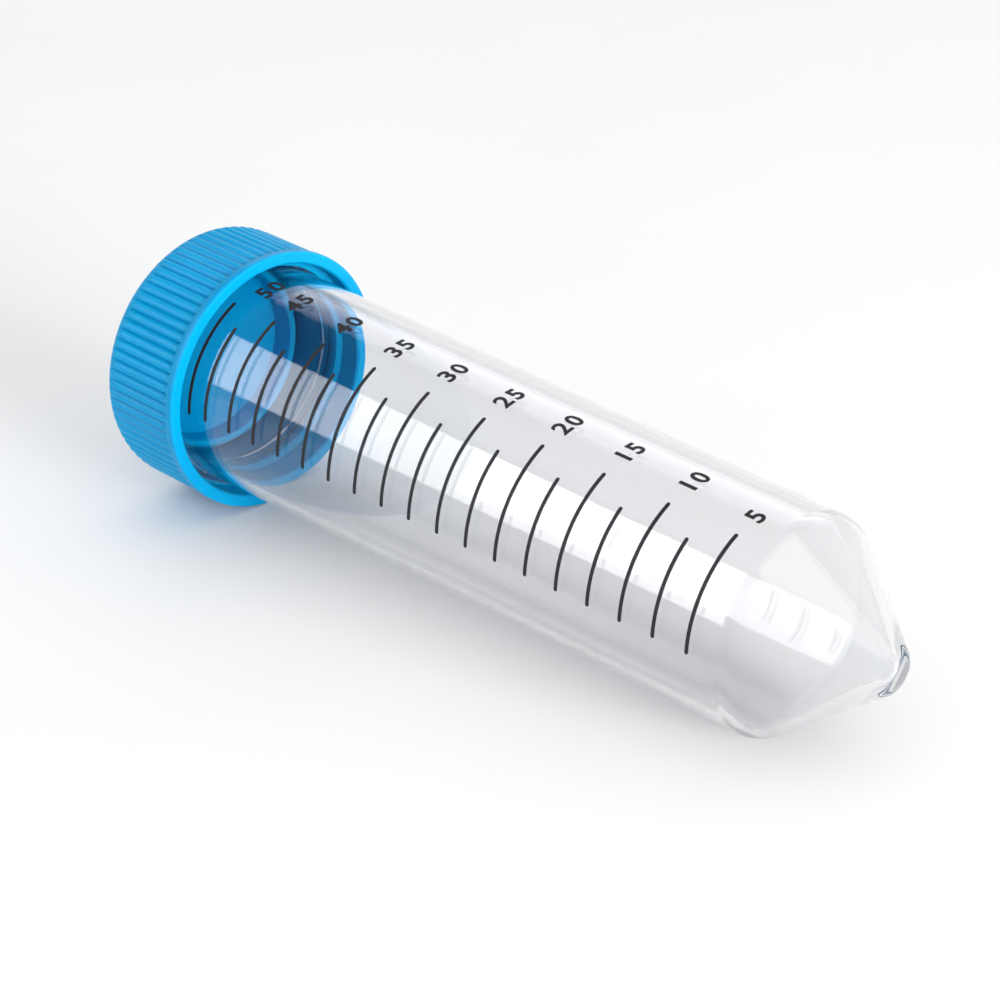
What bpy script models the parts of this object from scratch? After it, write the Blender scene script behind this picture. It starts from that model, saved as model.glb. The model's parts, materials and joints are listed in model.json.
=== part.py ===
"""A capped 50 mL centrifuge tube lying on a table: tube, screw cap, seal ring and printed scale.

Each piece is made along the tube's own axis, its local X. Station 0 is the mouth, and stations
grow towards the tip. An empty then lays the whole tube down on its cap and its shoulder.
Angles go round the axis from +Y towards +Z, so 90 degrees is the top and 180 the front.
"""

import math

import bmesh
import bpy
from mathutils import Vector

MM = 0.001

# Tube
TUBE_LENGTH = 113.7 * MM
NECK_RADIUS = 14.55 * MM
BARREL_NARROWING = 0.85 * MM
TUBE_WALL = 1.15 * MM
CONE_LENGTH = 14.0 * MM
CONE_WALL = 1.1 * MM
SHOULDER_ROUND = 2.4 * MM
TIP_RADIUS = 2.6 * MM
TIP_ROUND = 1.4 * MM
TIP_WALL = 1.3 * MM
BORE_TIP_ROUND = 2.4 * MM
LIP_ROUND = 0.3 * MM
TUBE_SIDES = 72
SHOULDER_STEPS = 4
TIP_STEPS = 3
BORE_TIP_STEPS = 4
LIP_STEPS = 2

# Cap
CAP_WALL = 1.6 * MM
CAP_HEIGHT = 14.1 * MM
CAP_TOP = 1.3 * MM
CAP_EDGE_ROUND = 2.4 * MM
RIB_COUNT = 78
RIB_DEPTH = 0.4 * MM
RIB_SET_BACK = 0.15 * MM
RIM_BAND = 1.4 * MM
RIM_BEVEL = 0.25 * MM
RIM_ROUND = 0.35 * MM
BORE_CHAMFER = 0.25 * MM
CAP_EDGE_STEPS = 5
RIB_FADE_STEPS = 3
RIM_STEPS = 2

# Seal ring, and the plug ring of the cap that keeps it in place
SEAL_THICKNESS = 0.8 * MM
SEAL_CLEARANCE = 0.3 * MM
SEAL_CHAMFER = 0.15 * MM
SEAL_SIDES = 72
SEAT_GAP = 0.1 * MM
PLUG_WALL = 1.0 * MM
PLUG_DEPTH = 3.2 * MM
PLUG_CLEARANCE = 0.5 * MM

# Thread, one start, right-handed
THREAD_LEAD = 4.0 * MM
THREAD_HEIGHT = 0.95 * MM
THREAD_ROOT_WIDTH = 1.5 * MM
THREAD_CREST_WIDTH = 0.7 * MM
THREAD_CLEARANCE = 0.3 * MM
THREAD_BITE = 0.5 * MM
TUBE_THREAD_START = 2.2 * MM
TUBE_THREAD_SET_BACK = 2.6 * MM
CAP_THREAD_SET_BACK = 1.6 * MM
THREAD_RUN_OUT_TURNS = 0.1
THREAD_STEPS_PER_TURN = 48

# Printed scale
LINE_COUNT = 19
LINES_PER_NUMERAL = 2
LINE_VALUE = 2.5
LOWEST_LINE = 2
LOWEST_LINE_RISE = 4.5 * MM
FULL_LINE_SET_BACK = 1.29 * MM
LINES_END_ANGLE = 180.1
LONG_LINE_SPAN = 63.1
SHORT_LINE_SPAN = 51.1
LINE_WIDTH = 0.5 * MM
LINE_STEPS = 14
LINE_END_STEPS = 3
TOP_LINE_DROP = 1.4 * MM
TOP_NUMERAL_DROP = 2.1 * MM
NUMERAL_HEIGHT = 2.6 * MM
NUMERAL_ADVANCE = 2.05 * MM
NUMERAL_GAP = 3.2 * MM
NUMERAL_SLICE = 0.7 * MM
NUMERAL_RESOLUTION = 3
NUMERAL_WEIGHT = 0.022
INK_GAP = 0.03 * MM
INK_THICKNESS = 0.06 * MM

# Finishes
CLEAR_COLOUR = (0.93, 0.96, 0.98)
CLEAR_ROUGHNESS = 0.05
BLUE_COLOUR = (0.0, 0.3, 0.66)
BLUE_ROUGHNESS = 0.35
SEAL_COLOUR = (0.0, 0.28, 0.64)
SEAL_ROUGHNESS = 0.5
INK_COLOUR = (0.01, 0.01, 0.012)
INK_ROUGHNESS = 0.4
SHARP_EDGE = 28

# Worked out from the sizes above
CAP_CEILING = -SEAL_THICKNESS - 2 * SEAT_GAP
CAP_BACK = CAP_CEILING - CAP_TOP
SKIRT_EDGE = CAP_BACK + CAP_HEIGHT
SHOULDER_STATION = TUBE_LENGTH - CONE_LENGTH
SHOULDER_RADIUS = NECK_RADIUS - BARREL_NARROWING
TAPER = BARREL_NARROWING / (SHOULDER_STATION - SKIRT_EDGE)
CONE_SLOPE = (SHOULDER_RADIUS - TIP_RADIUS) / CONE_LENGTH
TAPER_ANGLE = math.atan(TAPER)
CONE_ANGLE = math.atan(CONE_SLOPE)
BORE_RADIUS = NECK_RADIUS - TUBE_WALL
CAP_BORE_RADIUS = NECK_RADIUS + THREAD_HEIGHT + THREAD_CLEARANCE
CAP_RADIUS = CAP_BORE_RADIUS + CAP_WALL
PLUG_RADIUS = BORE_RADIUS - PLUG_CLEARANCE
CAP_THREAD_START = TUBE_THREAD_START + THREAD_LEAD / 2
TUBE_THREAD_TURNS = (SKIRT_EDGE - TUBE_THREAD_SET_BACK - TUBE_THREAD_START) / THREAD_LEAD
CAP_THREAD_TURNS = (SKIRT_EDGE - CAP_THREAD_SET_BACK - CAP_THREAD_START) / THREAD_LEAD
TOP_LINE = LOWEST_LINE + LINE_COUNT - 1
CAP_SIDES = 2 * RIB_COUNT


def clear_scene():
    for old in list(bpy.data.objects):
        bpy.data.objects.remove(old, do_unlink=True)


def new_material(name, colour, roughness, transmission=0.0):
    made = bpy.data.materials.new(name)
    made.use_nodes = True
    shader = made.node_tree.nodes["Principled BSDF"]
    shader.inputs["Base Color"].default_value = (*colour, 1.0)
    shader.inputs["Roughness"].default_value = roughness
    shader.inputs["Metallic"].default_value = 0.0
    shader.inputs["Transmission Weight"].default_value = transmission
    return made


def new_object(name, mesh, finish, parent):
    mesh.materials.append(finish)
    made = bpy.data.objects.new(name, mesh)
    bpy.context.collection.objects.link(made)
    made.parent = parent
    return made


def finished_mesh(name, built):
    """The mesh of a closed shape, with its faces pointing out."""
    bmesh.ops.recalc_face_normals(built, faces=built.faces)
    if built.calc_volume(signed=True) < 0:
        bmesh.ops.reverse_faces(built, faces=built.faces)
    mesh = bpy.data.meshes.new(name)
    built.to_mesh(mesh)
    built.free()
    return mesh


def shade_round(obj):
    obj.data.shade_smooth()
    obj.data.set_sharp_from_angle(angle=math.radians(SHARP_EDGE))


def at_angle(station, radius, angle):
    return Vector((station, radius * math.cos(angle), radius * math.sin(angle)))


def arc(centre_station, centre_radius, radius, start, end, steps):
    """Points of a round edge in a profile, between two directions in radians."""
    turns = [start + (end - start) * step / steps for step in range(steps + 1)]
    return [(centre_station + radius * math.cos(t), centre_radius + radius * math.sin(t)) for t in turns]


def turned_mesh(name, profile, sides, flute_depths=None):
    """A body turned round the axis from a closed profile of (station, radius) points.

    A flat lies at the bottom, so that the body rests on a face. flute_depths says, for each
    profile point, how far every second point round the ring sinks in.
    """
    built = bmesh.new()
    rings = []
    for index, (station, radius) in enumerate(profile):
        if radius == 0.0:
            rings.append([built.verts.new((station, 0.0, 0.0))] * sides)
            continue
        depth = flute_depths[index] if flute_depths else 0.0
        angles = [2 * math.pi * (side + 0.5) / sides for side in range(sides)]
        ring = [at_angle(station, radius - depth * (side % 2), angles[side]) for side in range(sides)]
        rings.append([built.verts.new(point) for point in ring])
    for first, second in zip(rings, rings[1:] + rings[:1]):
        for side in range(sides):
            after = (side + 1) % sides
            corners = dict.fromkeys([first[side], first[after], second[after], second[side]])
            if len(corners) > 2:
                built.faces.new(list(corners))
    return finished_mesh(name, built)


def outer_radius(station):
    """The tube's outside: a straight neck, then a slight taper down to the shoulder."""
    return NECK_RADIUS - TAPER * max(0.0, station - SKIRT_EDGE)


def shoulder_arc(corner_station, corner_radius, fillet, cone_angle):
    """The rounded corner between the barrel and a cone."""
    barrel = Vector((1.0, -TAPER)).normalized()
    reach = fillet * math.tan((cone_angle - TAPER_ANGLE) / 2)
    centre = Vector((corner_station, corner_radius)) - barrel * reach + Vector((barrel.y, -barrel.x)) * fillet
    quarter = math.pi / 2
    return arc(centre.x, centre.y, fillet, quarter - TAPER_ANGLE, quarter - cone_angle, SHOULDER_STEPS)


def tip_arc():
    """The rounded edge between the cone and the flat tip."""
    centre_radius = TIP_RADIUS + CONE_SLOPE * TIP_ROUND - TIP_ROUND / math.cos(CONE_ANGLE)
    cone_side = math.pi / 2 - CONE_ANGLE
    return arc(TUBE_LENGTH - TIP_ROUND, centre_radius, TIP_ROUND, cone_side, 0.0, TIP_STEPS)


def bore_profile():
    """The tube's inside, from the bottom of the cone up to the mouth."""
    corner_shift = (TUBE_WALL - CONE_WALL / math.cos(CONE_ANGLE)) / (CONE_SLOPE - TAPER)
    corner_station = SHOULDER_STATION + corner_shift
    corner_radius = outer_radius(corner_station) - TUBE_WALL
    centre = TUBE_LENGTH - TIP_WALL - BORE_TIP_ROUND
    to_centre = Vector((centre - corner_station, corner_radius))
    cone_angle = math.atan2(to_centre.y, to_centre.x) - math.asin(BORE_TIP_ROUND / to_centre.length)
    points = arc(centre, 0.0, BORE_TIP_ROUND, 0.0, math.pi / 2 - cone_angle, BORE_TIP_STEPS)
    points[0] = (centre + BORE_TIP_ROUND, 0.0)
    points += reversed(shoulder_arc(corner_station, corner_radius, SHOULDER_ROUND, cone_angle))
    points += [(SKIRT_EDGE, BORE_RADIUS), (LIP_ROUND, BORE_RADIUS), (0.0, BORE_RADIUS + LIP_ROUND)]
    return points


def tube_profile():
    points = arc(LIP_ROUND, NECK_RADIUS - LIP_ROUND, LIP_ROUND, math.pi, math.pi / 2, LIP_STEPS)
    points.append((SKIRT_EDGE, NECK_RADIUS))
    points += shoulder_arc(SHOULDER_STATION, SHOULDER_RADIUS, SHOULDER_ROUND, CONE_ANGLE)
    points += tip_arc()
    points.append((TUBE_LENGTH, 0.0))
    return points + bore_profile()


def make_ridge(name, wall_radius, height, start_station, turns, finish, parent):
    """A helical ridge that stands out of a wall, or into a bore where height is negative."""
    outwards = math.copysign(1.0, height)
    root = wall_radius - outwards * THREAD_BITE
    steps = round(turns * THREAD_STEPS_PER_TURN)
    built = bmesh.new()
    sections = []
    for step in range(steps + 1):
        turn = turns * step / steps
        rise = min(1.0, min(turn, turns - turn) / THREAD_RUN_OUT_TURNS)
        crest = wall_radius + height * rise - outwards * (1.0 - rise) * THREAD_BITE / 2
        station = start_station + THREAD_LEAD * turn
        outline = (
            (station - THREAD_ROOT_WIDTH / 2, root),
            (station - THREAD_CREST_WIDTH / 2, crest),
            (station + THREAD_CREST_WIDTH / 2, crest),
            (station + THREAD_ROOT_WIDTH / 2, root),
        )
        angle = 2 * math.pi * turn
        sections.append([built.verts.new(at_angle(x, r, angle)) for x, r in outline])
    join_sections(built, sections)
    ridge = new_object(name, finished_mesh(name, built), finish, parent)
    ridge.hide_render = True
    ridge.display_type = "WIRE"
    return ridge


def join_sections(built, sections):
    """Sides between cross-sections that have the same number of corners, and the two ends."""
    for first, second in zip(sections, sections[1:]):
        for corner in range(len(first)):
            after = (corner + 1) % len(first)
            built.faces.new([first[corner], first[after], second[after], second[corner]])
    built.faces.new(sections[0])
    built.faces.new(sections[-1])


def join_ridge(obj, ridge):
    union = obj.modifiers.new("thread", "BOOLEAN")
    union.operation = "UNION"
    union.solver = "EXACT"
    union.object = ridge


def make_tube(finish, parent):
    tube = new_object("tube", turned_mesh("tube", tube_profile(), TUBE_SIDES), finish, parent)
    shade_round(tube)
    turns = TUBE_THREAD_TURNS
    ridge = make_ridge("tube_thread", NECK_RADIUS, THREAD_HEIGHT, TUBE_THREAD_START, turns, finish, parent)
    join_ridge(tube, ridge)


def cap_outline():
    """The cap's outside from the skirt's edge to the middle of its back, and how deep the ribs are."""
    crest = CAP_RADIUS - RIB_SET_BACK
    band = SKIRT_EDGE - RIM_BAND
    rim = arc(SKIRT_EDGE - RIM_ROUND, CAP_RADIUS - RIM_ROUND, RIM_ROUND, 0.0, math.pi / 2, RIM_STEPS)
    points = [(point, 0.0) for point in rim]
    points += [((band, CAP_RADIUS), 0.0), ((band - RIM_BEVEL, crest), RIB_DEPTH)]
    edge = CAP_EDGE_ROUND
    back = arc(CAP_BACK + edge, crest - edge, edge, math.pi / 2, math.pi, CAP_EDGE_STEPS)
    for step, point in enumerate(back):
        points.append((point, RIB_DEPTH * max(0.0, 1.0 - step / RIB_FADE_STEPS)))
    points.append(((CAP_BACK, 0.0), 0.0))
    return points


def cap_inside():
    """The cap's inside from the middle of its ceiling, over the plug ring, to the skirt's edge."""
    plug_end = CAP_CEILING + PLUG_DEPTH
    plug_inner = PLUG_RADIUS - PLUG_WALL
    return [
        (CAP_CEILING, 0.0),
        (CAP_CEILING, plug_inner),
        (plug_end, plug_inner + BORE_CHAMFER),
        (plug_end, PLUG_RADIUS - BORE_CHAMFER),
        (plug_end - BORE_CHAMFER, PLUG_RADIUS),
        (CAP_CEILING, PLUG_RADIUS),
        (CAP_CEILING, CAP_BORE_RADIUS),
        (SKIRT_EDGE - BORE_CHAMFER, CAP_BORE_RADIUS),
        (SKIRT_EDGE, CAP_BORE_RADIUS + BORE_CHAMFER),
    ]


def make_cap(finish, parent):
    outside = cap_outline()
    inside = cap_inside()
    profile = [point for point, depth in outside] + inside
    depths = [depth for point, depth in outside] + [0.0] * len(inside)
    cap = new_object("cap", turned_mesh("cap", profile, CAP_SIDES, depths), finish, parent)
    shade_round(cap)
    turns = CAP_THREAD_TURNS
    ridge = make_ridge("cap_thread", CAP_BORE_RADIUS, -THREAD_HEIGHT, CAP_THREAD_START, turns, finish, parent)
    join_ridge(cap, ridge)


def make_seal_ring(finish, parent):
    near = CAP_CEILING + SEAT_GAP
    far = near + SEAL_THICKNESS
    inner = PLUG_RADIUS + SEAL_CLEARANCE
    outer = CAP_BORE_RADIUS - SEAL_CLEARANCE
    cut = SEAL_CHAMFER
    profile = [
        (near + cut, inner),
        (near, inner + cut),
        (near, outer - cut),
        (near + cut, outer),
        (far - cut, outer),
        (far, outer - cut),
        (far, inner + cut),
        (far - cut, inner),
    ]
    ring = new_object("seal_ring", turned_mesh("seal_ring", profile, SEAL_SIDES), finish, parent)
    shade_round(ring)


def tapered_bore(station):
    """The radius of the bore on its taper, carried on a little under the cap."""
    return BORE_RADIUS - TAPER * (station - SKIRT_EDGE)


def line_station(number):
    """Where a scale line lies: the lines share the bore evenly by volume, up to the full line."""
    lowest = tapered_bore(SHOULDER_STATION - LOWEST_LINE_RISE)
    full = tapered_bore(SKIRT_EDGE - FULL_LINE_SET_BACK)
    part = (number - LOWEST_LINE) / (LINE_COUNT - 1)
    radius = (lowest**3 * (1.0 - part) + full**3 * part) ** (1 / 3)
    station = SKIRT_EDGE + (BORE_RADIUS - radius) / TAPER
    return station + (TOP_LINE_DROP if number == TOP_LINE else 0.0)


def on_print(station, angle, height):
    """A point of the ink, which follows the tube's outside a little above it."""
    return at_angle(station, outer_radius(station) + INK_GAP + height, angle)


def make_line(number, finish, parent):
    """One scale line, with round ends. The long ones carry a numeral."""
    is_long = number % LINES_PER_NUMERAL == 0
    station = line_station(number)
    radius = outer_radius(station)
    length = radius * math.radians(LONG_LINE_SPAN if is_long else SHORT_LINE_SPAN)
    half = LINE_WIDTH / 2
    turns = [math.pi / 2 * (step + 0.5) / LINE_END_STEPS for step in range(LINE_END_STEPS)]
    start = [(half * (1 - math.cos(turn)), half * math.sin(turn)) for turn in turns]
    straight = length - LINE_WIDTH
    middle = [(half + straight * step / LINE_STEPS, half) for step in range(LINE_STEPS + 1)]
    end = [(length - along, width) for along, width in reversed(start)]
    built = bmesh.new()
    sections = []
    for along, width in start + middle + end:
        angle = math.radians(LINES_END_ANGLE) - along / radius
        corners = (
            on_print(station - width, angle, 0.0),
            on_print(station + width, angle, 0.0),
            on_print(station + width, angle, INK_THICKNESS),
            on_print(station - width, angle, INK_THICKNESS),
        )
        sections.append([built.verts.new(corner) for corner in corners])
    join_sections(built, sections)
    name = f"line_{number * LINE_VALUE:04.1f}_ml"
    shade_round(new_object(name, finished_mesh(name, built), finish, parent))


def digit_shape(digit):
    """A digit of unit thickness from Blender's own font, as a closed bmesh in font units."""
    text = bpy.data.curves.new("digit", "FONT")
    text.body = digit
    text.extrude = 0.5
    text.offset = NUMERAL_WEIGHT
    text.resolution_u = NUMERAL_RESOLUTION
    holder = bpy.data.objects.new("digit", text)
    bpy.context.collection.objects.link(holder)
    graph = bpy.context.evaluated_depsgraph_get()
    flat = bpy.data.meshes.new_from_object(holder.evaluated_get(graph))
    shape = bmesh.new()
    shape.from_mesh(flat)
    bpy.data.objects.remove(holder, do_unlink=True)
    bpy.data.meshes.remove(flat)
    bmesh.ops.remove_doubles(shape, verts=shape.verts, dist=1e-5)
    return shape


def extent(shape, axis):
    values = [vert.co[axis] for vert in shape.verts]
    return min(values), max(values)


def make_digit(name, digit, station, angle, finish, parent):
    """One digit laid on the tube. It reads upwards round the tube, with its top towards the cap."""
    reference = digit_shape("0")
    base, top = extent(reference, 1)
    reference.free()
    scale = NUMERAL_HEIGHT / (top - base)
    shape = digit_shape(digit)
    left, right = extent(shape, 0)
    slices = max(1, math.ceil((right - left) * scale / NUMERAL_SLICE))
    for cut in range(1, slices):
        whole = shape.verts[:] + shape.edges[:] + shape.faces[:]
        across = Vector((left + (right - left) * cut / slices, 0.0, 0.0))
        bmesh.ops.bisect_plane(shape, geom=whole, plane_co=across, plane_no=(1.0, 0.0, 0.0), dist=1e-6)
    for vert in shape.verts:
        along = (vert.co.x - (left + right) / 2) * scale
        up = (vert.co.y - (base + top) / 2) * scale
        height = (vert.co.z + 0.5) * INK_THICKNESS
        vert.co = on_print(station - up, angle - along / outer_radius(station), height)
    new_object(name, finished_mesh(name, shape), finish, parent)


def make_numeral(number, finish, parent):
    """The numeral beside a long line: its digits follow each other from the line's end."""
    text = f"{number * LINE_VALUE:.0f}"
    station = line_station(number) + (TOP_NUMERAL_DROP if number == TOP_LINE else 0.0)
    radius = outer_radius(station)
    line_end = math.radians(LINES_END_ANGLE - LONG_LINE_SPAN)
    for place, digit in enumerate(text):
        angle = line_end - (NUMERAL_GAP + place * NUMERAL_ADVANCE) / radius
        make_digit(f"numeral_{text}_digit_{place + 1}", digit, station, angle, finish, parent)


def make_scale(finish, parent):
    for number in range(LOWEST_LINE, LOWEST_LINE + LINE_COUNT):
        make_line(number, finish, parent)
        if number % LINES_PER_NUMERAL == 0:
            make_numeral(number, finish, parent)


def lay_down():
    """An empty at the mouth, turned and placed so that the cap's rim and the shoulder touch z = 0."""
    rim_station = SKIRT_EDGE - RIM_ROUND
    rim_radius = CAP_RADIUS * math.cos(math.pi / CAP_SIDES)
    shoulder = shoulder_arc(SHOULDER_STATION, SHOULDER_RADIUS, SHOULDER_ROUND, CONE_ANGLE)
    shoulder_station, shoulder_radius = shoulder[0]
    shoulder_radius *= math.cos(math.pi / TUBE_SIDES)
    tilt = math.atan((rim_radius - shoulder_radius) / (shoulder_station - rim_station))
    height = rim_station * math.sin(tilt) + rim_radius * math.cos(tilt)
    back = min(s * math.cos(tilt) - r * math.sin(tilt) for (s, r), depth in cap_outline())
    front = max(s * math.cos(tilt) + r * math.sin(tilt) for s, r in tip_arc())
    lying = bpy.data.objects.new("lying_tube", None)
    bpy.context.collection.objects.link(lying)
    lying.location = (-(back + front) / 2, 0.0, height)
    lying.rotation_euler = (0.0, tilt, 0.0)
    return lying


def main():
    clear_scene()
    lying = lay_down()
    clear_plastic = new_material("clear_plastic", CLEAR_COLOUR, CLEAR_ROUGHNESS, transmission=1.0)
    blue_plastic = new_material("blue_plastic", BLUE_COLOUR, BLUE_ROUGHNESS)
    soft_seal = new_material("soft_seal", SEAL_COLOUR, SEAL_ROUGHNESS)
    ink = new_material("black_ink", INK_COLOUR, INK_ROUGHNESS)
    make_tube(clear_plastic, lying)
    make_seal_ring(soft_seal, lying)
    make_cap(blue_plastic, lying)
    make_scale(ink, lying)


main()
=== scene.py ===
"""The looks of a capped 50 mL conical centrifuge tube that lies on a white table.

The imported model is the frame. Fine pieces stand for the tube, the cap and the seal ring; the
printed lines and digits stay and get their ink. Stations run along the tube's own axis from its
mouth, in metres, and angles go round that axis from +Y towards +Z.
"""

import json
import math

import bmesh
import bpy
from mathutils import Matrix, Vector


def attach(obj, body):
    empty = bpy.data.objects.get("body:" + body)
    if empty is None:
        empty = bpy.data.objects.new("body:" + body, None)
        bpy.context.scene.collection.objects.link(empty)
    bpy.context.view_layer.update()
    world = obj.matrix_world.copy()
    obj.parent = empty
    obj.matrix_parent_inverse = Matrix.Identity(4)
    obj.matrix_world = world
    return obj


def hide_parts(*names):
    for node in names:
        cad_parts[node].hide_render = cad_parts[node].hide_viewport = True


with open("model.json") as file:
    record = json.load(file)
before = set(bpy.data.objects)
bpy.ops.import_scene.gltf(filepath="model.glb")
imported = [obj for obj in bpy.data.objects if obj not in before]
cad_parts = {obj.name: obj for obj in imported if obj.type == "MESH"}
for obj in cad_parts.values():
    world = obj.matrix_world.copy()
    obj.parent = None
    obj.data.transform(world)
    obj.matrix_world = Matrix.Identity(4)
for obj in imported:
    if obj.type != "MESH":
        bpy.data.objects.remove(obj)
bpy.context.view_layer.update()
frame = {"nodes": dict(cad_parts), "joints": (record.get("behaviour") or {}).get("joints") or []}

MM = 0.001

# Sizes of the tube and the cap, as the frame has them
TUBE_LENGTH = 113.7 * MM
NECK_RADIUS = 14.55 * MM
SHOULDER_RADIUS = 13.7 * MM
TUBE_WALL = 1.15 * MM
CONE_LENGTH = 14.0 * MM
CONE_WALL = 1.1 * MM
SHOULDER_ROUND = 2.4 * MM
TIP_RADIUS = 2.6 * MM
TIP_ROUND = 1.4 * MM
TIP_WALL = 1.3 * MM
BORE_TIP_ROUND = 2.4 * MM
LIP_ROUND = 0.3 * MM
CAP_RADIUS = 17.4 * MM
CAP_HEIGHT = 14.1 * MM
CAP_TOP = 1.3 * MM
CAP_EDGE_ROUND = 2.4 * MM
RIB_COUNT = 78
RIB_DEPTH = 0.4 * MM
RIB_SET_BACK = 0.15 * MM
RIM_BAND = 1.4 * MM
RIM_BEVEL = 0.25 * MM
RIM_ROUND = 0.35 * MM
BORE_CHAMFER = 0.25 * MM
SEAL_THICKNESS = 0.8 * MM
SEAL_CLEARANCE = 0.3 * MM
SEAL_CHAMFER = 0.15 * MM
SEAT_GAP = 0.1 * MM
PLUG_WALL = 1.0 * MM
PLUG_DEPTH = 3.2 * MM
PLUG_CLEARANCE = 0.5 * MM
THREAD_LEAD = 4.0 * MM
THREAD_HEIGHT = 0.95 * MM
THREAD_ROOT_WIDTH = 1.5 * MM
THREAD_CREST_WIDTH = 0.7 * MM
THREAD_CLEARANCE = 0.3 * MM
THREAD_BITE = 0.5 * MM
TUBE_THREAD_START = 2.2 * MM
TUBE_THREAD_TURNS = 1.75
CAP_THREAD_TURNS = 1.5
THREAD_RUN_OUT_TURNS = 0.1

# How finely the round pieces are made
TUBE_SIDES = 256
POINTS_PER_RIB = 10
SEAL_SIDES = 180
THREAD_STEPS_PER_TURN = 128
BEND_STEPS = 10
TIP_STEPS = 8
CAP_EDGE_STEPS = 16
CAP_RIM_STEPS = 6
SMALL_ROUND_STEPS = 4
LONG_WALL_STEPS = 8
CONE_WALL_STEPS = 6
NECK_WALL_STEPS = 4
TUBE_SHARP = 30
CAP_SHARP = 35
SEAL_SHARP = 40

RIB_WIDTH_SHARE = 0.86
RIB_END_SHARE = 0.35
WELD = 0.002 * MM

# Finishes. The clear plastic bends less light than real polypropylene, so that its reflections
# don't hide the cap's inside, and a ray that is caught in its wall passes straight on.
CLEAR_TINT = (0.925, 0.928, 0.935)
CLEAR_IOR = 1.36
CLEAR_LAST_DEPTH = 5.5
CLEAR_WAVE_SIZE = 14 * MM
CLEAR_WAVE_DEPTH = 0.05 * MM
CLEAR_WAVE_STRENGTH = 0.02
CLEAR_HAZE_SIZE = 2.5 * MM
CLEAR_MOST_ROUGHNESS = 0.03
SHADOW_EDGE_BLEND = 0.35
SHADOW_FACE = (0.9, 0.9, 0.905)
SHADOW_EDGE = (0.6, 0.61, 0.62)
BLUE_LOW = (0.0, 0.3, 0.59)
BLUE_HIGH = (0.0, 0.34, 0.65)
BLUE_DEPTH_WEIGHT = 0.6
BLUE_DEPTH = 1.5 * MM
BLUE_DEPTH_RADII = (0.1, 0.6, 1.0)
BLUE_SPECULAR = 0.1
BLUE_CLOUD_SIZE = 9 * MM
BLUE_GRAIN_SIZE = 0.18 * MM
BLUE_GRAIN_DEPTH = 0.012 * MM
RUBBER_LOW = (0.0, 0.26, 0.62)
RUBBER_HIGH = (0.01, 0.32, 0.7)
RUBBER_GRAIN_SIZE = 0.25 * MM
RUBBER_GRAIN_DEPTH = 0.02 * MM
INK_LOW = (0.012, 0.012, 0.014)
INK_HIGH = (0.03, 0.03, 0.034)
INK_SPECULAR = 0.15
INK_PATCH_SIZE = 0.3 * MM
INK_PATCH_DEPTH = 0.01 * MM
TABLE_SPECULAR = 0.2
TABLE_PATCH_SIZE = 60 * MM
TABLE_LOW = (0.86, 0.86, 0.865)
TABLE_HIGH = (0.9, 0.9, 0.9)

# Studio. The softboxes show only in reflections; matt surfaces get the room's even light and the
# low lamp beyond the tip, which shows in no reflection.
FLOOR_HALF = 3.0
ROOM_LOW = (0.9, 0.9, 0.91)
ROOM_HIGH = (0.1, 0.1, 0.105)
ROOM_FILL = (0.91, 0.91, 0.91)
ROOM_FILL_DEPTH = 5.5
ROOM_LOW_RISE = 0.45
ROOM_HIGH_RISE = 0.72
KEY_LOW = 174.2
KEY_HIGH = 120.4
KEY_DISTANCE = 0.6
KEY_LEFT = -0.6
KEY_WIDTH = 0.52
KEY_RADIANCE = 5.6
END_LIGHT_DIRECTION = (0.95, -0.1, 0.22)
END_LIGHT_DISTANCE = 1.0
END_LIGHT_SIZE = (0.5, 0.3)
END_LIGHT_RADIANCE = 26.0
GLOSSY_BOUNCES = 12
WHITE = (1.0, 1.0, 1.0)
# Name, direction, distance, width, height, colour and radiance
SOFTBOXES = (
    ("right_softbox", (0.63, 0.08, 0.77), 0.9, 0.75, 0.55, (1.0, 1.0, 0.96), 2.2),
    ("back_softbox", (-0.35, 0.72, 0.6), 1.0, 1.4, 0.5, (0.94, 0.91, 1.0), 1.1),
)

# Worked out from the sizes above
CAP_CEILING = -SEAL_THICKNESS - 2 * SEAT_GAP
CAP_BACK = CAP_CEILING - CAP_TOP
SKIRT_EDGE = CAP_BACK + CAP_HEIGHT
SHOULDER_STATION = TUBE_LENGTH - CONE_LENGTH
TAPER = (NECK_RADIUS - SHOULDER_RADIUS) / (SHOULDER_STATION - SKIRT_EDGE)
CONE_SLOPE = (SHOULDER_RADIUS - TIP_RADIUS) / CONE_LENGTH
TAPER_ANGLE = math.atan(TAPER)
CONE_ANGLE = math.atan(CONE_SLOPE)
BORE_RADIUS = NECK_RADIUS - TUBE_WALL
CAP_BORE_RADIUS = NECK_RADIUS + THREAD_HEIGHT + THREAD_CLEARANCE
PLUG_RADIUS = BORE_RADIUS - PLUG_CLEARANCE

# Camera
CAMERA_AZIMUTH = math.radians(44.78)
CAMERA_ELEVATION = math.radians(25.54)
CAMERA_ROLL = math.radians(-0.34)
CAMERA_DISTANCE = 375.5 * MM
CAMERA_LENS = 111.8
CAMERA_STATION = 55.2 * MM
CAMERA_RIGHT = -1.73 * MM
CAMERA_UP = -0.79 * MM


def tube_placement():
    """Matrix from the tube's own axes, with the mouth at the origin, to the frame."""
    turn = next(joint for joint in frame["joints"] if joint["name"] == "cap_turn")
    along = -Vector(turn["axis"]).normalized()
    side = Vector((0.0, 1.0, 0.0))
    up = along.cross(side)
    placement = Matrix((along, side, up)).transposed().to_4x4()
    placement.translation = Vector(turn["pos_m"])
    return placement


PLACEMENT = tube_placement()


def at_angle(station, radius, angle):
    return Vector((station, radius * math.cos(angle), radius * math.sin(angle)))


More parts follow.
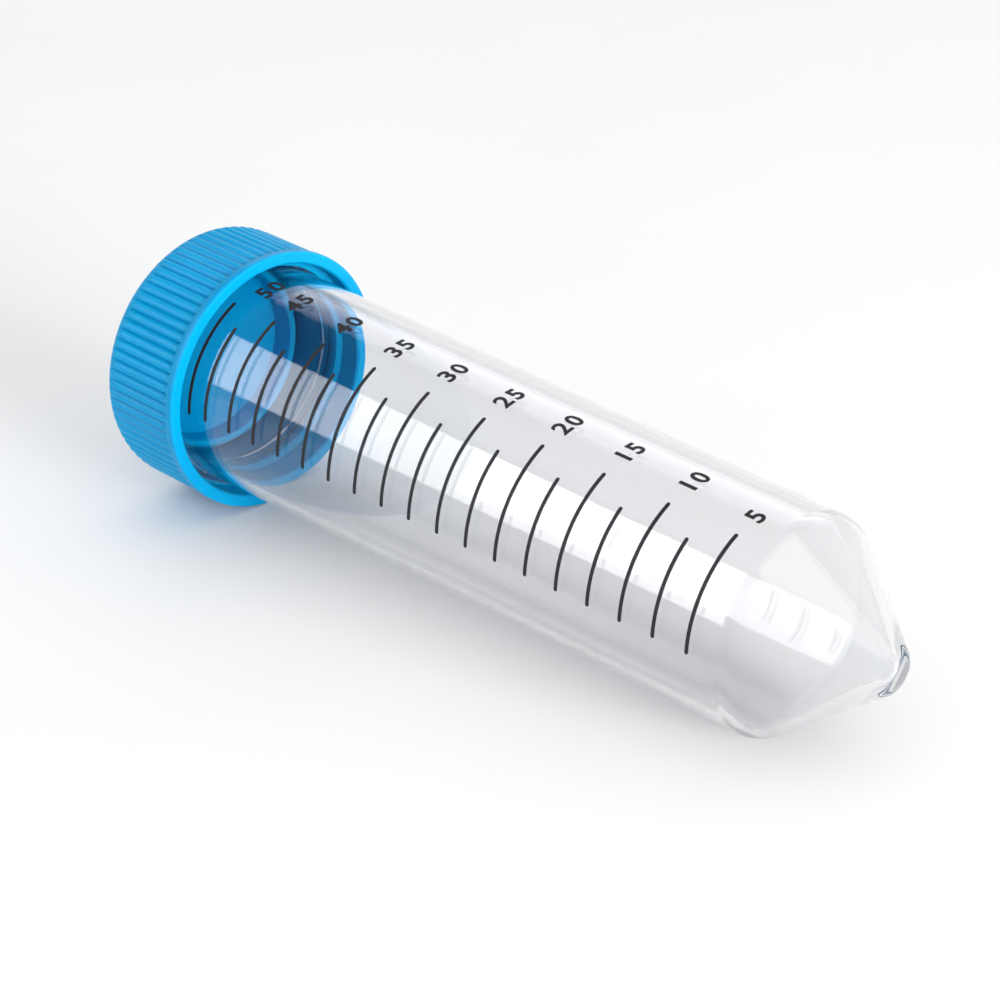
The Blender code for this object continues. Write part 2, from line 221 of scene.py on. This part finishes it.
def arc(centre_station, centre_radius, radius, start, end, steps):
    """Points of a round edge in a profile, between two directions in radians."""
    turns = [start + (end - start) * step / steps for step in range(steps + 1)]
    return [(centre_station + radius * math.cos(t), centre_radius + radius * math.sin(t)) for t in turns]


def line(start, end, steps):
    """Points from start up to, but not including, end, so that long walls get their own loops."""
    return [tuple(a + (b - a) * step / steps for a, b in zip(start, end)) for step in range(steps)]


def turned_mesh(name, profile, sides):
    """A body turned round the tube's axis from a closed profile of (station, radius) points."""
    built = bmesh.new()
    rings = []
    for station, radius in profile:
        if radius == 0.0:
            rings.append([built.verts.new((station, 0.0, 0.0))] * sides)
            continue
        angles = [2 * math.pi * side / sides for side in range(sides)]
        rings.append([built.verts.new(at_angle(station, radius, angle)) for angle in angles])
    for first, second in zip(rings, rings[1:] + rings[:1]):
        for side in range(sides):
            after = (side + 1) % sides
            corners = dict.fromkeys([first[side], first[after], second[after], second[side]])
            if len(corners) > 2:
                built.faces.new(list(corners))
    return outward_mesh(name, built)


def outward_mesh(name, built):
    """The mesh of a closed shape, with its faces pointing out."""
    bmesh.ops.recalc_face_normals(built, faces=built.faces)
    if built.calc_volume(signed=True) < 0:
        bmesh.ops.reverse_faces(built, faces=built.faces)
    mesh = bpy.data.meshes.new(name)
    built.to_mesh(mesh)
    built.free()
    return mesh


def new_object(name, mesh):
    made = bpy.data.objects.new(name, mesh)
    bpy.context.scene.collection.objects.link(made)
    return made


def applied(obj):
    """The object with its modifiers made part of its mesh."""
    graph = bpy.context.evaluated_depsgraph_get()
    mesh = bpy.data.meshes.new_from_object(obj.evaluated_get(graph))
    obj.modifiers.clear()
    obj.data = mesh
    return obj


def set_in_place(obj, sharp_degrees):
    """Smooths the piece and lays it where the frame has it, with its place in its mesh."""
    obj.data.shade_smooth()
    obj.data.set_sharp_from_angle(angle=math.radians(sharp_degrees))
    place = obj.data.attributes.new("on_tube", "FLOAT_VECTOR", "POINT")
    for value, vert in zip(place.data, obj.data.vertices):
        value.vector = vert.co
    obj.data.transform(PLACEMENT)
    return obj


def shoulder_arc(corner_station, corner_radius, fillet, cone_angle, steps):
    """The rounded corner between the barrel and a cone."""
    barrel = Vector((1.0, -TAPER)).normalized()
    reach = fillet * math.tan((cone_angle - TAPER_ANGLE) / 2)
    touch = Vector((corner_station, corner_radius)) - barrel * reach
    centre = touch + Vector((barrel.y, -barrel.x)) * fillet
    quarter = math.pi / 2
    return arc(centre.x, centre.y, fillet, quarter - TAPER_ANGLE, quarter - cone_angle, steps)


def tip_arc(steps):
    """The rounded edge between the cone and the flat tip."""
    centre_radius = TIP_RADIUS + CONE_SLOPE * TIP_ROUND - TIP_ROUND / math.cos(CONE_ANGLE)
    return arc(TUBE_LENGTH - TIP_ROUND, centre_radius, TIP_ROUND, math.pi / 2 - CONE_ANGLE, 0.0, steps)


def bore_profile():
    """The tube's inside, from the bottom of the cone up to the mouth."""
    corner_shift = (TUBE_WALL - CONE_WALL / math.cos(CONE_ANGLE)) / (CONE_SLOPE - TAPER)
    corner_station = SHOULDER_STATION + corner_shift
    corner_radius = SHOULDER_RADIUS - TAPER * corner_shift - TUBE_WALL
    centre = TUBE_LENGTH - TIP_WALL - BORE_TIP_ROUND
    to_centre = Vector((centre - corner_station, corner_radius))
    cone_angle = math.atan2(to_centre.y, to_centre.x) - math.asin(BORE_TIP_ROUND / to_centre.length)
    points = arc(centre, 0.0, BORE_TIP_ROUND, 0.0, math.pi / 2 - cone_angle, BEND_STEPS)
    points[0] = (centre + BORE_TIP_ROUND, 0.0)
    bend = shoulder_arc(corner_station, corner_radius, SHOULDER_ROUND, cone_angle, BEND_STEPS)[::-1]
    points += line(points.pop(), bend[0], CONE_WALL_STEPS)
    points += bend[:-1]
    points += line(bend[-1], (SKIRT_EDGE, BORE_RADIUS), LONG_WALL_STEPS)
    points += line((SKIRT_EDGE, BORE_RADIUS), (LIP_ROUND, BORE_RADIUS), NECK_WALL_STEPS)
    lip_radius = BORE_RADIUS + LIP_ROUND
    points += arc(LIP_ROUND, lip_radius, LIP_ROUND, -math.pi / 2, -math.pi, SMALL_ROUND_STEPS)
    return points


def tube_profile():
    """The tube's outside from the mouth to the tip, and then its inside back to the mouth."""
    lip_radius = NECK_RADIUS - LIP_ROUND
    points = arc(LIP_ROUND, lip_radius, LIP_ROUND, math.pi, math.pi / 2, SMALL_ROUND_STEPS)[:-1]
    points += line((LIP_ROUND, NECK_RADIUS), (SKIRT_EDGE, NECK_RADIUS), NECK_WALL_STEPS)
    bend = shoulder_arc(SHOULDER_STATION, SHOULDER_RADIUS, SHOULDER_ROUND, CONE_ANGLE, BEND_STEPS)
    points += line((SKIRT_EDGE, NECK_RADIUS), bend[0], LONG_WALL_STEPS)
    points += bend[:-1]
    tip = tip_arc(TIP_STEPS)
    points += line(bend[-1], tip[0], CONE_WALL_STEPS)
    points += tip
    points.append((TUBE_LENGTH, 0.0))
    return points + bore_profile()


def thread_ridge(name, wall_radius, height, start_station, turns):
    """A helical ridge that stands out of a wall, or into a bore where height is negative."""
    outwards = math.copysign(1.0, height)
    root = wall_radius - outwards * THREAD_BITE
    steps = round(turns * THREAD_STEPS_PER_TURN)
    built = bmesh.new()
    sections = []
    for step in range(steps + 1):
        turn = turns * step / steps
        rise = min(1.0, min(turn, turns - turn) / THREAD_RUN_OUT_TURNS)
        crest = wall_radius + height * rise - outwards * (1.0 - rise) * THREAD_BITE / 2
        station = start_station + THREAD_LEAD * turn
        outline = (
            (station - THREAD_ROOT_WIDTH / 2, root),
            (station - THREAD_CREST_WIDTH / 2, crest),
            (station + THREAD_CREST_WIDTH / 2, crest),
            (station + THREAD_ROOT_WIDTH / 2, root),
        )
        angle = 2 * math.pi * turn
        sections.append([built.verts.new(at_angle(x, r, angle)) for x, r in outline])
    for first, second in zip(sections, sections[1:]):
        for corner in range(len(first)):
            after = (corner + 1) % len(first)
            built.faces.new([first[corner], first[after], second[after], second[corner]])
    built.faces.new(sections[0])
    built.faces.new(sections[-1])
    return new_object(name, outward_mesh(name, built))


def with_thread(obj, ridge):
    """Joins a ridge to its wall."""
    union = obj.modifiers.new("thread", "BOOLEAN")
    union.operation = "UNION"
    union.solver = "EXACT"
    union.object = ridge
    applied(obj)
    bpy.data.objects.remove(ridge, do_unlink=True)
    return obj


def make_tube():
    tube = new_object("clear_tube", turned_mesh("clear_tube", tube_profile(), TUBE_SIDES))
    ridge = thread_ridge("tube_thread", NECK_RADIUS, THREAD_HEIGHT, TUBE_THREAD_START, TUBE_THREAD_TURNS)
    with_thread(tube, ridge)
    return set_in_place(tube, TUBE_SHARP)


def cap_wall_outline():
    """The cap's outside at the bottom of its grooves, from the skirt's edge to its back's middle."""
    wall = CAP_RADIUS - RIB_SET_BACK - RIB_DEPTH
    band = SKIRT_EDGE - RIM_BAND
    quarter = math.pi / 2
    points = arc(SKIRT_EDGE - RIM_ROUND, CAP_RADIUS - RIM_ROUND, RIM_ROUND, 0, quarter, CAP_RIM_STEPS)
    points += [(band + RIM_BEVEL, CAP_RADIUS), (band, CAP_RADIUS - RIM_BEVEL / 2)]
    edge = CAP_EDGE_ROUND
    crest = CAP_RADIUS - RIB_SET_BACK
    back = arc(CAP_BACK + edge, crest - edge, edge, quarter, math.pi, CAP_EDGE_STEPS)
    sunk = [(x, min(r, wall)) for x, r in back]
    points += line((band - RIM_BEVEL, wall), sunk[0], LONG_WALL_STEPS)
    return points + sunk + [(CAP_BACK, 0.0)]


def cap_inside():
    """The cap's inside from the middle of its ceiling, over the plug ring, to the skirt's edge."""
    plug_end = CAP_CEILING + PLUG_DEPTH
    plug_inner = PLUG_RADIUS - PLUG_WALL
    cut = BORE_CHAMFER
    points = [(CAP_CEILING, 0.0), (CAP_CEILING, plug_inner)]
    points += [(plug_end - cut, plug_inner), (plug_end, plug_inner + cut)]
    points += [(plug_end, PLUG_RADIUS - cut), (plug_end - cut, PLUG_RADIUS), (CAP_CEILING, PLUG_RADIUS)]
    points += [(CAP_CEILING, CAP_BORE_RADIUS), (SKIRT_EDGE - cut, CAP_BORE_RADIUS)]
    points.append((SKIRT_EDGE, CAP_BORE_RADIUS + cut))
    return points


class Nodes:
    """Adds nodes and links to a node tree."""

    def __init__(self, tree):
        self.tree = tree

    def node(self, kind, inputs=None, **settings):
        made = self.tree.nodes.new(kind)
        for key, value in settings.items():
            setattr(made, key, value)
        for key, value in (inputs or {}).items():
            self.feed(made.inputs[key], value)
        return made

    def feed(self, socket, value):
        if isinstance(value, bpy.types.NodeSocket):
            self.tree.links.new(value, socket)
        else:
            socket.default_value = value

    def math(self, operation, first, second=0.0):
        return self.node("ShaderNodeMath", {0: first, 1: second}, operation=operation).outputs[0]

    def mixed(self, share, first, second):
        """A colour between two."""
        mix = self.node("ShaderNodeMix", data_type="RGBA")
        self.feed(mix.inputs["Factor"], share)
        self.feed(mix.inputs["A"], first)
        self.feed(mix.inputs["B"], second)
        return next(output for output in mix.outputs if output.type == "RGBA")


class Tree(Nodes):
    """Builds a Geometry Nodes tree: named inputs, nodes and links."""

    def __init__(self, name):
        self.group = bpy.data.node_groups.new(name, "GeometryNodeTree")
        super().__init__(self.group)
        self.group.is_modifier = True
        self.group.interface.new_socket("Geometry", in_out="INPUT", socket_type="NodeSocketGeometry")
        self.group.interface.new_socket("Geometry", in_out="OUTPUT", socket_type="NodeSocketGeometry")
        self.sockets = {}

    def add_input(self, name, kind):
        socket = self.group.interface.new_socket(name, in_out="INPUT", socket_type=kind)
        self.sockets[name] = socket.identifier

    def start(self):
        self.entry = self.group.nodes.new("NodeGroupInput")
        self.exit = self.group.nodes.new("NodeGroupOutput")

    def of(self, name):
        return self.entry.outputs[name]

    def point(self, x, y, z):
        return self.node("ShaderNodeCombineXYZ", {0: x, 1: y, 2: z}).outputs[0]

    def close(self, geometry, finish):
        """Ends the tree: real meshes in place of instances, all with one finish."""
        real = self.node("GeometryNodeRealizeInstances", {0: geometry}).outputs[0]
        coated = self.node("GeometryNodeSetMaterial", {"Geometry": real, "Material": finish})
        self.group.links.new(coated.outputs[0], self.exit.inputs[0])

    def run(self, name, values):
        """The tree's result as an object with a plain mesh."""
        made = new_object(name, bpy.data.meshes.new(name))
        modifier = made.modifiers.new(name, "NODES")
        modifier.node_group = self.group
        for key, value in values.items():
            modifier[self.sockets[key]] = value
        return applied(made)


def rib_height(share):
    """How far a rib stands up at a share of the way from one groove to the next, from 0 to 1."""
    off = abs(share - 0.5) / (RIB_WIDTH_SHARE / 2)
    return math.sqrt(1.0 - off * off) if off < 1.0 else 0.0


def cap_sector():
    """One rib's share of the cap's wall, from groove to groove, as an open mesh."""
    outside = cap_wall_outline()
    crest = CAP_RADIUS - RIB_SET_BACK
    ribbed_to = SKIRT_EDGE - RIM_BAND - RIM_BEVEL / 2
    edge_from = CAP_BACK + CAP_EDGE_ROUND * RIB_END_SHARE
    built = bmesh.new()
    rows = []
    for station, radius in outside + cap_inside():
        if radius == 0.0:
            rows.append([built.verts.new((station, 0.0, 0.0))] * (POINTS_PER_RIB + 1))
            continue
        outer = len(rows) < len(outside)
        rises = outer and edge_from < station < ribbed_to
        depth = max(0.0, min(crest, back_edge_radius(station)) - radius) if rises else 0.0
        row = []
        for point in range(POINTS_PER_RIB + 1):
            share = point / POINTS_PER_RIB
            angle = 2 * math.pi / RIB_COUNT * share
            row.append(built.verts.new(at_angle(station, radius + depth * rib_height(share), angle)))
        rows.append(row)
    for first, second in zip(rows, rows[1:] + rows[:1]):
        for point in range(POINTS_PER_RIB):
            corners = dict.fromkeys([first[point], first[point + 1], second[point + 1], second[point]])
            if len(corners) > 2:
                built.faces.new(list(corners))
    mesh = bpy.data.meshes.new("cap_sector")
    built.to_mesh(mesh)
    built.free()
    return mesh


def back_edge_radius(station):
    """The radius of the rounded edge round the cap's back, at the ribs' crests."""
    edge = CAP_EDGE_ROUND
    in_from_edge = max(0.0, CAP_BACK + edge - station)
    rise = math.sqrt(max(0.0, edge * edge - in_from_edge * in_from_edge))
    return CAP_RADIUS - RIB_SET_BACK - edge + rise


def repeat_tree():
    """Repeats one sector round the X axis and welds the copies into one closed wall."""
    tree = Tree("ribs_round_cap")
    tree.add_input("Sector", "NodeSocketObject")
    tree.add_input("Rib Count", "NodeSocketInt")
    tree.add_input("Weld Distance", "NodeSocketFloat")
    tree.add_input("Finish", "NodeSocketMaterial")
    tree.start()
    at_origin = {"Count": tree.of("Rib Count"), "Offset": (0.0, 0.0, 0.0)}
    places = tree.node("GeometryNodeMeshLine", at_origin)
    sector = tree.node("GeometryNodeObjectInfo", {"Object": tree.of("Sector")}).outputs["Geometry"]
    index = tree.node("GeometryNodeInputIndex").outputs[0]
    turn = tree.math("DIVIDE", tree.math("MULTIPLY", index, 2 * math.pi), tree.of("Rib Count"))
    copies = tree.node(
        "GeometryNodeInstanceOnPoints",
        {"Points": places.outputs[0], "Instance": sector, "Rotation": tree.point(turn, 0.0, 0.0)},
    )
    real = tree.node("GeometryNodeRealizeInstances", {0: copies.outputs[0]}).outputs[0]
    welded = {"Geometry": real, "Distance": tree.of("Weld Distance")}
    weld = tree.node("GeometryNodeMergeByDistance", welded)
    tree.close(weld.outputs[0], tree.of("Finish"))
    return tree


def make_cap(finish):
    sector = new_object("cap_sector", cap_sector())
    values = {"Sector": sector, "Rib Count": RIB_COUNT, "Weld Distance": WELD, "Finish": finish}
    cap = repeat_tree().run("ribbed_cap", values)
    bpy.data.objects.remove(sector, do_unlink=True)
    closed = bmesh.new()
    closed.from_mesh(cap.data)
    cap.data = outward_mesh("ribbed_cap", closed)
    start = TUBE_THREAD_START + THREAD_LEAD / 2
    ridge = thread_ridge("cap_thread", CAP_BORE_RADIUS, -THREAD_HEIGHT, start, CAP_THREAD_TURNS)
    with_thread(cap, ridge)
    return set_in_place(cap, CAP_SHARP)


def make_seal():
    near = CAP_CEILING + SEAT_GAP
    far = near + SEAL_THICKNESS
    inner = PLUG_RADIUS + SEAL_CLEARANCE
    outer = CAP_BORE_RADIUS - SEAL_CLEARANCE
    cut = SEAL_CHAMFER
    quarter = math.pi / 2
    profile = arc(near + cut, outer - cut, cut, 2 * quarter, quarter, SMALL_ROUND_STEPS)
    profile += arc(far - cut, outer - cut, cut, quarter, 0.0, SMALL_ROUND_STEPS)
    profile += arc(far - cut, inner + cut, cut, 0.0, -quarter, SMALL_ROUND_STEPS)
    profile += arc(near + cut, inner + cut, cut, -quarter, -2 * quarter, SMALL_ROUND_STEPS)
    seal = new_object("soft_seal_ring", turned_mesh("soft_seal_ring", profile, SEAL_SIDES))
    return set_in_place(seal, SEAL_SHARP)


class Finish(Nodes):
    """Builds a material's nodes round its Principled shader."""

    def __init__(self, name):
        self.made = bpy.data.materials.new(name)
        self.made.use_nodes = True
        super().__init__(self.made.node_tree)
        self.shader = self.tree.nodes["Principled BSDF"]
        self.out = self.tree.nodes["Material Output"]
        self.place = self.node("ShaderNodeTexCoord").outputs["Object"]

    def set(self, **values):
        for key, value in values.items():
            self.feed(self.shader.inputs[key.replace("_", " ")], value)

    def noise(self, size, detail=2.0, roughness=0.5, distortion=0.0):
        inputs = {
            "Vector": self.place,
            "Scale": 1.0 / size,
            "Detail": detail,
            "Roughness": roughness,
            "Distortion": distortion,
        }
        return self.node("ShaderNodeTexNoise", inputs).outputs["Fac"]

    def ranged(self, value, low, high):
        inputs = {"Value": value, "From Min": 0.3, "From Max": 0.7, "To Min": low, "To Max": high}
        return self.node("ShaderNodeMapRange", inputs).outputs[0]

    def bumped(self, height, distance, strength=1.0):
        inputs = {"Height": height, "Distance": distance, "Strength": strength}
        return self.node("ShaderNodeBump", inputs).outputs[0]


def clear_plastic():
    """Clear moulded plastic, which lets lamps through it so that its shadow stays light."""
    finish = Finish("clear_moulded_plastic")
    waves = finish.noise(CLEAR_WAVE_SIZE, detail=0.0)
    haze = finish.noise(CLEAR_HAZE_SIZE)
    finish.set(
        Base_Color=(*CLEAR_TINT, 1.0),
        Roughness=finish.ranged(haze, 0.0, CLEAR_MOST_ROUGHNESS),
        IOR=CLEAR_IOR,
        Transmission_Weight=1.0,
        Normal=finish.bumped(waves, CLEAR_WAVE_DEPTH, CLEAR_WAVE_STRENGTH),
    )
    edge = finish.node("ShaderNodeLayerWeight", {"Blend": SHADOW_EDGE_BLEND}).outputs["Facing"]
    veil = finish.mixed(edge, (*SHADOW_FACE, 1.0), (*SHADOW_EDGE, 1.0))
    through = finish.node("ShaderNodeBsdfTransparent", {"Color": veil}).outputs[0]
    path = finish.node("ShaderNodeLightPath").outputs
    lit = finish.math("MAXIMUM", path["Is Shadow Ray"], path["Is Diffuse Ray"])
    late = finish.math("GREATER_THAN", path["Ray Depth"], CLEAR_LAST_DEPTH)
    straight_on = finish.math("MAXIMUM", lit, late)
    shaders = {0: straight_on, 1: finish.shader.outputs[0], 2: through}
    both = finish.node("ShaderNodeMixShader", shaders).outputs[0]
    finish.feed(finish.out.inputs["Surface"], both)
    return finish.made


def blue_plastic():
    """Pigmented cap plastic: even colour with faint flow streaks and a fine satin grain."""
    finish = Finish("blue_cap_plastic")
    cloud = finish.noise(BLUE_CLOUD_SIZE, detail=3.0)
    grain = finish.noise(BLUE_GRAIN_SIZE, detail=2.0)
    finish.set(
        Base_Color=finish.mixed(finish.ranged(cloud, 0.0, 1.0), (*BLUE_LOW, 1.0), (*BLUE_HIGH, 1.0)),
        Roughness=finish.ranged(grain, 0.3, 0.4),
        IOR=1.5,
        Specular_IOR_Level=BLUE_SPECULAR,
        Subsurface_Weight=BLUE_DEPTH_WEIGHT,
        Subsurface_Radius=BLUE_DEPTH_RADII,
        Subsurface_Scale=BLUE_DEPTH,
        Normal=finish.bumped(grain, BLUE_GRAIN_DEPTH),
    )
    return finish.made


def seal_rubber():
    """Soft matt rubber in the cap's blue, with a fine grain."""
    finish = Finish("blue_seal_rubber")
    grain = finish.noise(RUBBER_GRAIN_SIZE, detail=4.0)
    finish.set(
        Base_Color=finish.mixed(grain, (*RUBBER_LOW, 1.0), (*RUBBER_HIGH, 1.0)),
        Roughness=finish.ranged(grain, 0.5, 0.7),
        Normal=finish.bumped(grain, RUBBER_GRAIN_DEPTH),
    )
    return finish.made


def print_ink():
    """Screen-printed ink: almost black, a little uneven where the mesh left it."""
    finish = Finish("black_print_ink")
    patches = finish.noise(INK_PATCH_SIZE, detail=4.0, roughness=0.6)
    finish.set(
        Base_Color=finish.mixed(patches, (*INK_LOW, 1.0), (*INK_HIGH, 1.0)),
        Roughness=finish.ranged(patches, 0.5, 0.7),
        Specular_IOR_Level=INK_SPECULAR,
        Normal=finish.bumped(patches, INK_PATCH_DEPTH),
    )
    return finish.made


def floor_finish():
    """A white matt table with barely uneven paint."""
    finish = Finish("white_table")
    soft = finish.noise(TABLE_PATCH_SIZE, detail=3.0)
    finish.set(
        Base_Color=finish.mixed(soft, (*TABLE_LOW, 1.0), (*TABLE_HIGH, 1.0)),
        Roughness=finish.ranged(soft, 0.55, 0.65),
        Specular_IOR_Level=TABLE_SPECULAR,
    )
    return finish.made


def coat(obj, finish):
    """Gives an object one finish all over."""
    slots = obj.material_slots
    if not slots:
        obj.data.materials.append(finish)
    for slot in obj.material_slots:
        slot.material = finish


def make_floor():
    built = bmesh.new()
    bmesh.ops.create_grid(built, x_segments=8, y_segments=8, size=FLOOR_HALF)
    mesh = bpy.data.meshes.new("table_top")
    built.to_mesh(mesh)
    built.free()
    floor = new_object("table_top", mesh)
    coat(floor, floor_finish())


def soft_light(name, centre, aim, width, height, colour, radiance, up=(0.0, 0.0, 1.0)):
    """A rectangular softbox that shows the same brightness from all over its face."""
    light = bpy.data.lights.new(name, "AREA")
    light.shape = "RECTANGLE"
    light.size = width
    light.size_y = height
    light.color = colour
    light.energy = radiance * math.pi * width * height
    made = bpy.data.objects.new(name, light)
    bpy.context.scene.collection.objects.link(made)
    back = (Vector(centre) - Vector(aim)).normalized()
    right = Vector(up).cross(back).normalized()
    turn = Matrix((right, back.cross(right), back)).transposed().to_4x4()
    turn.translation = Vector(centre)
    made.matrix_world = turn
    return made


def make_world():
    """A room with pale walls and a dark ceiling, and with even light for all matt surfaces."""
    world = bpy.data.worlds.new("studio_room")
    world.use_nodes = True
    bpy.context.scene.world = world
    room = Nodes(world.node_tree)
    direction = room.node("ShaderNodeTexCoord").outputs["Generated"]
    height = room.node("ShaderNodeSeparateXYZ", {0: direction}).outputs["Z"]
    inputs = {"Value": height, "From Min": ROOM_LOW_RISE, "From Max": ROOM_HIGH_RISE}
    rise = room.node("ShaderNodeMapRange", inputs, interpolation_type="SMOOTHSTEP").outputs[0]
    seen = room.mixed(rise, (*ROOM_LOW, 1.0), (*ROOM_HIGH, 1.0))
    path = room.node("ShaderNodeLightPath").outputs
    late = room.math("GREATER_THAN", path["Ray Depth"], ROOM_FILL_DEPTH)
    evenly = room.math("MAXIMUM", path["Is Diffuse Ray"], late)
    light = room.mixed(evenly, seen, (*ROOM_FILL, 1.0))
    room.feed(room.tree.nodes["Background"].inputs["Color"], light)


def point_round(angle, distance, station):
    """A point at an angle round the tube's axis, in the frame."""
    return PLACEMENT @ at_angle(station, distance, math.radians(angle))


def make_lights():
    """A key softbox at the front left of the tube, and wide soft ones behind and to the right."""
    low = point_round(KEY_LOW, KEY_DISTANCE, 0.0)
    high = point_round(KEY_HIGH, KEY_DISTANCE, 0.0)
    middle = (low + high) / 2
    along = PLACEMENT.to_3x3() @ Vector((1.0, 0.0, 0.0))
    centre = middle + along * (KEY_LEFT + KEY_WIDTH / 2)
    aim = centre - (middle - PLACEMENT.translation)
    height = (high - low).length
    boxes = [
        soft_light("key_softbox", centre, aim, KEY_WIDTH, height, WHITE, KEY_RADIANCE, high - low)
    ]
    for name, direction, distance, width, height, colour, radiance in SOFTBOXES:
        centre = Vector(direction).normalized() * distance
        boxes.append(soft_light(name, centre, (0.0, 0.0, 0.0), width, height, colour, radiance))
    for box in boxes:
        box.visible_diffuse = False


def make_end_light():
    """A low lamp beyond the tip, which lights the inside of the cap through the tube."""
    centre = Vector(END_LIGHT_DIRECTION).normalized() * END_LIGHT_DISTANCE
    width, height = END_LIGHT_SIZE
    origin = (0.0, 0.0, 0.0)
    lamp = soft_light("end_softbox", centre, origin, width, height, WHITE, END_LIGHT_RADIANCE)
    lamp.visible_glossy = False
    lamp.visible_transmission = False


def make_camera():
    azimuth = CAMERA_AZIMUTH
    elevation = CAMERA_ELEVATION
    back = Vector((
        math.sin(azimuth) * math.cos(elevation),
        -math.cos(azimuth) * math.cos(elevation),
        math.sin(elevation),
    ))
    level = Vector((math.cos(azimuth), math.sin(azimuth), 0.0))
    upright = back.cross(level)
    right = level * math.cos(CAMERA_ROLL) + upright * math.sin(CAMERA_ROLL)
    up = back.cross(right)
    mouth = PLACEMENT.translation
    along = PLACEMENT.to_3x3() @ Vector((1.0, 0.0, 0.0))
    aim = mouth + along * CAMERA_STATION + right * CAMERA_RIGHT + up * CAMERA_UP
    turn = Matrix((right, up, back)).transposed().to_4x4()
    turn.translation = aim + back * CAMERA_DISTANCE
    lens = bpy.data.cameras.new("camera")
    lens.lens = CAMERA_LENS
    lens.sensor_width = 36.0
    lens.clip_start = 10 * MM
    camera = bpy.data.objects.new("camera", lens)
    bpy.context.scene.collection.objects.link(camera)
    camera.matrix_world = turn
    bpy.context.scene.camera = camera


def main():
    bpy.context.scene.cycles.glossy_bounces = GLOSSY_BOUNCES
    bpy.context.scene.view_settings.view_transform = "Standard"
    blue = blue_plastic()
    tube = make_tube()
    coat(tube, clear_plastic())
    cap = make_cap(blue)
    coat(cap, blue)
    seal = make_seal()
    coat(seal, seal_rubber())
    ink = print_ink()
    for name, node in frame["nodes"].items():
        if name.startswith(("line_", "numeral_")):
            coat(node, ink)
    for piece, node, body, slot in (
        (tube, "tube", "tube_body", "clear_plastic"),
        (cap, "cap", "screw_cap", "blue_plastic"),
        (seal, "seal_ring", "seal", "soft_seal"),
    ):
        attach(piece, body)
        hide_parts(node)
    make_floor()
    make_world()
    make_lights()
    make_end_light()
    make_camera()


main()
